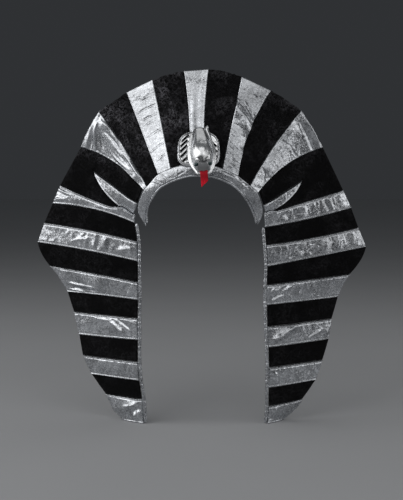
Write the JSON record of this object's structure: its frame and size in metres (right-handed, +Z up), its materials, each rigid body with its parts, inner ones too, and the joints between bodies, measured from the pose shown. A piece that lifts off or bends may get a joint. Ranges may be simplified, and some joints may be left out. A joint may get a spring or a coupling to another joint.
{
  "type": "costume headdress",
  "caption": "Padded pharaoh headdress of silver and black stripes, open at the face and back, with a silver cobra on its brow band. Stands on its lappet tips.",
  "frame": {"origin": "middle of the box's base, on the surface the two lappet tips stand on", "axes": "+Z up, -Y the way the wearer faces, +X to the viewer's right from the front; left and right in the node names are the viewer's"},
  "size_m": [0.4747, 0.1232, 0.4993],
  "materials": {
    "silver_lame": "silver lamé over foam, crinkled",
    "black_velvet": "black crushed velvet over foam",
    "plated": "silver metallised plastic",
    "bead": "dark teal glossy bead",
    "felt": "red felt"
  },
  "bodies": {
    "root": {"lappet_left_01_silver": "silver_lame", "lappet_left_02_velvet": "black_velvet", "lappet_left_03_silver": "silver_lame", "lappet_left_04_velvet": "black_velvet", "lappet_left_05_silver": "silver_lame", "lappet_left_06_velvet": "black_velvet", "lappet_left_07_silver": "silver_lame", "lappet_left_08_velvet": "black_velvet", "lappet_left_09_silver": "silver_lame", "lappet_left_10_velvet": "black_velvet", "lappet_left_11_silver": "silver_lame", "crown_01_silver": "silver_lame", "crown_02_velvet": "black_velvet", "crown_03_silver": "silver_lame", "crown_04_velvet": "black_velvet", "crown_05_silver": "silver_lame", "crown_06_velvet": "black_velvet", "crown_07_silver": "silver_lame", "crown_08_velvet": "black_velvet", "crown_09_silver": "silver_lame", "lappet_right_01_silver": "silver_lame", "lappet_right_02_velvet": "black_velvet", "lappet_right_03_silver": "silver_lame", "lappet_right_04_velvet": "black_velvet", "lappet_right_05_silver": "silver_lame", "lappet_right_06_velvet": "black_velvet", "lappet_right_07_silver": "silver_lame", "lappet_right_08_velvet": "black_velvet", "lappet_right_09_silver": "silver_lame", "lappet_right_10_velvet": "black_velvet", "lappet_right_11_silver": "silver_lame", "temple_left_velvet": "black_velvet", "temple_left_pleat": "silver_lame", "temple_right_velvet": "black_velvet", "temple_right_pleat": "silver_lame", "brow_band": "silver_lame", "brow_piping": "silver_lame", "edge_binding_left": "silver_lame", "edge_binding_right": "silver_lame", "cobra_hood": "plated", "cobra_head": "plated", "cobra_eye_left": "bead", "cobra_eye_right": "bead", "cobra_tongue": "felt"}
  },
  "joints": []
}
